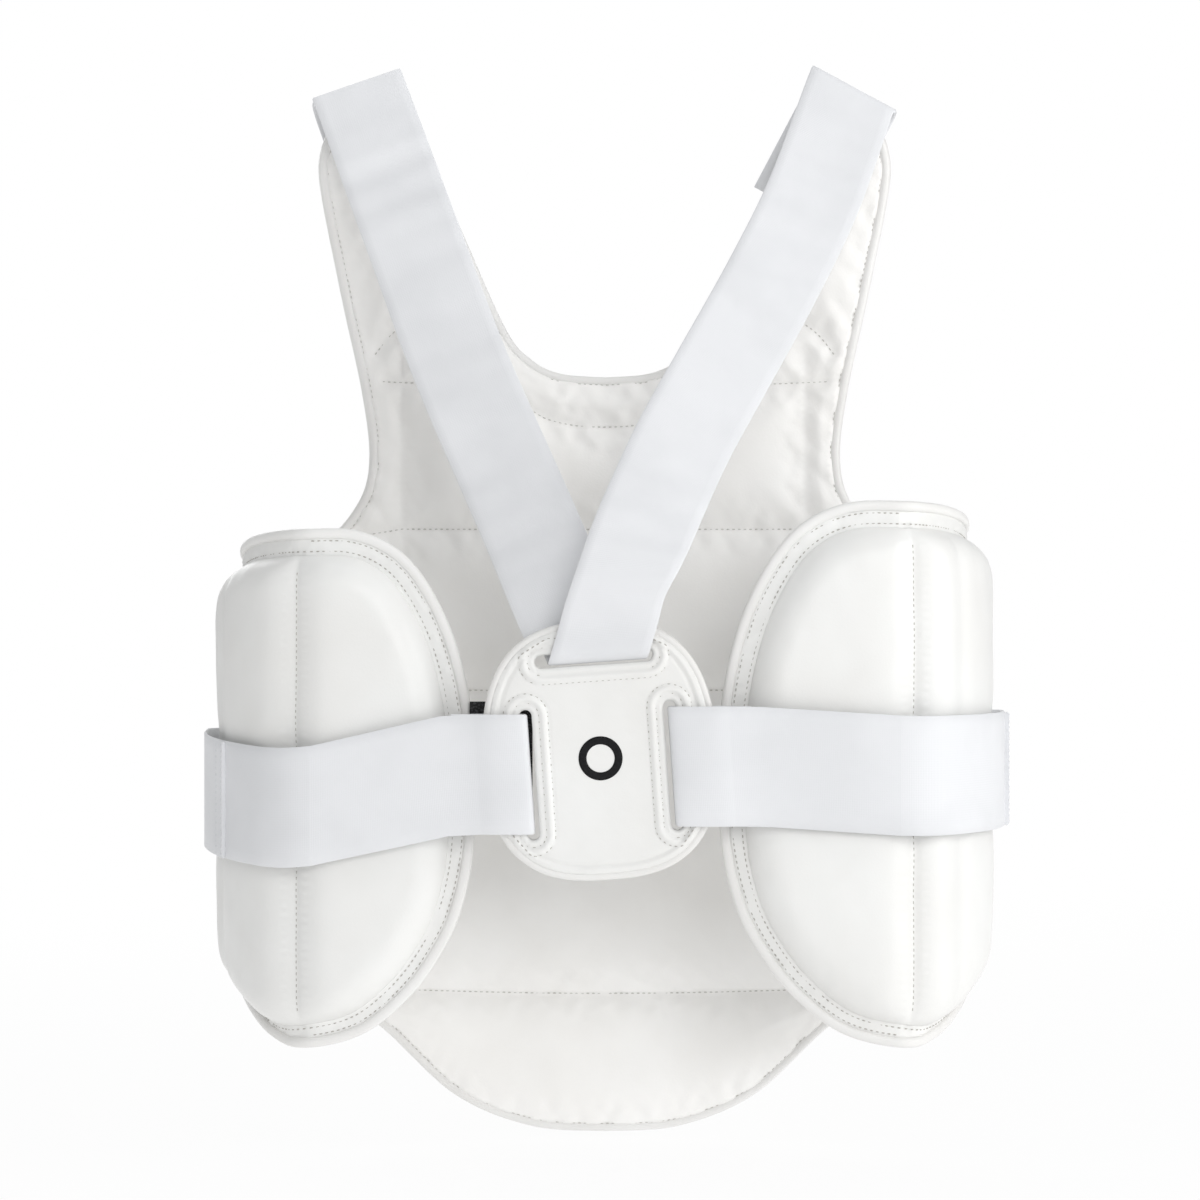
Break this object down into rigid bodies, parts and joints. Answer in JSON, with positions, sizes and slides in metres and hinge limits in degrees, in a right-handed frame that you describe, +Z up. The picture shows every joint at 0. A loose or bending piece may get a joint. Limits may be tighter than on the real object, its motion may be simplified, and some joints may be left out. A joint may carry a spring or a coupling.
{
  "type": "chest protector",
  "caption": "Padded torso guard: quilted front panel with shoulder tabs, hinged flank wings, crossed shoulder webbing, side straps and a slotted back plate.",
  "frame": {"origin": "centre of the bounding box in plan, at the lowest point of the hem", "axes": "+Z up, the wearer faces -Y, +X to the wearer's left"},
  "size_m": [0.421, 0.1754, 0.5711],
  "materials": {
    "white_leather": "smooth satin synthetic leather, fine grain",
    "lining_leather": "soft matt synthetic leather, quilted",
    "foam": "closed-cell foam",
    "white_elastic": "woven elastic webbing, fine ribs",
    "hook_tape": "hook-and-loop tape",
    "plate_board": "stiff polyethylene board",
    "dark_print": "printed mark"
  },
  "bodies": {
    "root": {"belly_foam": "foam", "chest_foam": "foam", "front_cover": "white_leather", "front_lining": "lining_leather", "hem_binding": "white_leather", "hem_foam": "foam", "left_armhole_binding": "white_leather", "left_flank_foam": "foam", "left_shoulder_strap_end": "white_elastic", "left_tab_foam": "foam", "left_tab_hook_patch": "hook_tape", "neck_binding": "white_leather", "ribs_foam": "foam", "right_armhole_binding": "white_leather", "right_flank_foam": "foam", "right_shoulder_strap_end": "white_elastic", "right_tab_foam": "foam", "right_tab_hook_patch": "hook_tape"},
    "left_wing": {"left_waist_strap_corner": "white_elastic", "left_waist_strap_side": "white_elastic", "left_wing_side_board": "white_leather", "left_wing_side_bottom_binding": "white_leather", "left_wing_side_foam": "foam", "left_wing_side_pad_cover": "white_leather", "left_wing_side_top_binding": "white_leather"},
    "left_wing_back": {"left_wing_back_binding": "white_leather", "left_wing_back_board": "white_leather", "left_wing_back_foam": "foam", "left_wing_back_pad_cover": "white_leather"},
    "left_waist_strap": {"left_hook_patch": "hook_tape", "left_waist_strap_back": "white_elastic", "left_waist_strap_tail": "white_elastic"},
    "right_wing": {"right_waist_strap_corner": "white_elastic", "right_waist_strap_side": "white_elastic", "right_wing_side_board": "white_leather", "right_wing_side_bottom_binding": "white_leather", "right_wing_side_foam": "foam", "right_wing_side_pad_cover": "white_leather", "right_wing_side_top_binding": "white_leather"},
    "right_wing_back": {"right_wing_back_binding": "white_leather", "right_wing_back_board": "white_leather", "right_wing_back_foam": "foam", "right_wing_back_pad_cover": "white_leather"},
    "right_waist_strap": {"right_hook_patch": "hook_tape", "right_waist_strap_back": "white_elastic", "right_waist_strap_tail": "white_elastic"},
    "harness": {"left_shoulder_strap": "white_elastic", "right_shoulder_strap": "white_elastic", "shoulder_strap_loop": "white_elastic"},
    "back_plate": {"left_slot_rim": "white_leather", "plate_binding": "white_leather", "plate_core": "plate_board", "plate_cover": "white_leather", "plate_emblem": "dark_print", "plate_lining": "lining_leather", "right_slot_rim": "white_leather", "top_slot_rim": "white_leather"}
  },
  "joints": [
    {"name": "left_wing_swing", "type": "hinge", "parent": "root", "child": "left_wing", "pos_m": [0.1849, -0.0548, 0.2], "axis": [0, 0, -1], "range_deg": [0, 60], "deforming": ["left_waist_strap_tail", "left_hook_patch"]},
    {"name": "left_wing_fold", "type": "hinge", "parent": "left_wing", "child": "left_wing_back", "pos_m": [0.1515, 0.0545, 0.2], "axis": [0, 0, -1], "range_deg": [0, 40], "deforming": ["left_waist_strap_corner"]},
    {"name": "left_strap_peel", "type": "hinge", "parent": "left_wing_back", "child": "left_waist_strap", "pos_m": [0.1495, 0.078, 0.19], "axis": [0, 0, -1], "range_deg": [0, 80], "deforming": ["left_waist_strap_corner", "left_waist_strap_tail", "left_hook_patch"]},
    {"name": "right_wing_swing", "type": "hinge", "parent": "root", "child": "right_wing", "pos_m": [-0.1849, -0.0548, 0.2], "axis": [0, 0, 1], "range_deg": [0, 60], "deforming": ["right_waist_strap_tail", "right_hook_patch"]},
    {"name": "right_wing_fold", "type": "hinge", "parent": "right_wing", "child": "right_wing_back", "pos_m": [-0.1515, 0.0545, 0.2], "axis": [0, 0, 1], "range_deg": [0, 40], "deforming": ["right_waist_strap_corner"]},
    {"name": "right_strap_peel", "type": "hinge", "parent": "right_wing_back", "child": "right_waist_strap", "pos_m": [-0.1495, 0.078, 0.19], "axis": [0, 0, 1], "range_deg": [0, 80], "deforming": ["right_waist_strap_corner", "right_waist_strap_tail", "right_hook_patch"]},
    {"name": "harness_swing", "type": "hinge", "parent": "root", "child": "harness", "pos_m": [0, -0.0606, 0.5497], "axis": [1, 0, 0], "range_deg": [0, 100], "deforming": ["left_shoulder_strap_end", "right_shoulder_strap_end"]},
    {"name": "plate_pivot", "type": "hinge", "parent": "harness", "child": "back_plate", "pos_m": [0.0025, 0.0745, 0.266], "axis": [1, 0, 0], "range_deg": [0, 60], "deforming": ["shoulder_strap_loop"]}
  ]
}
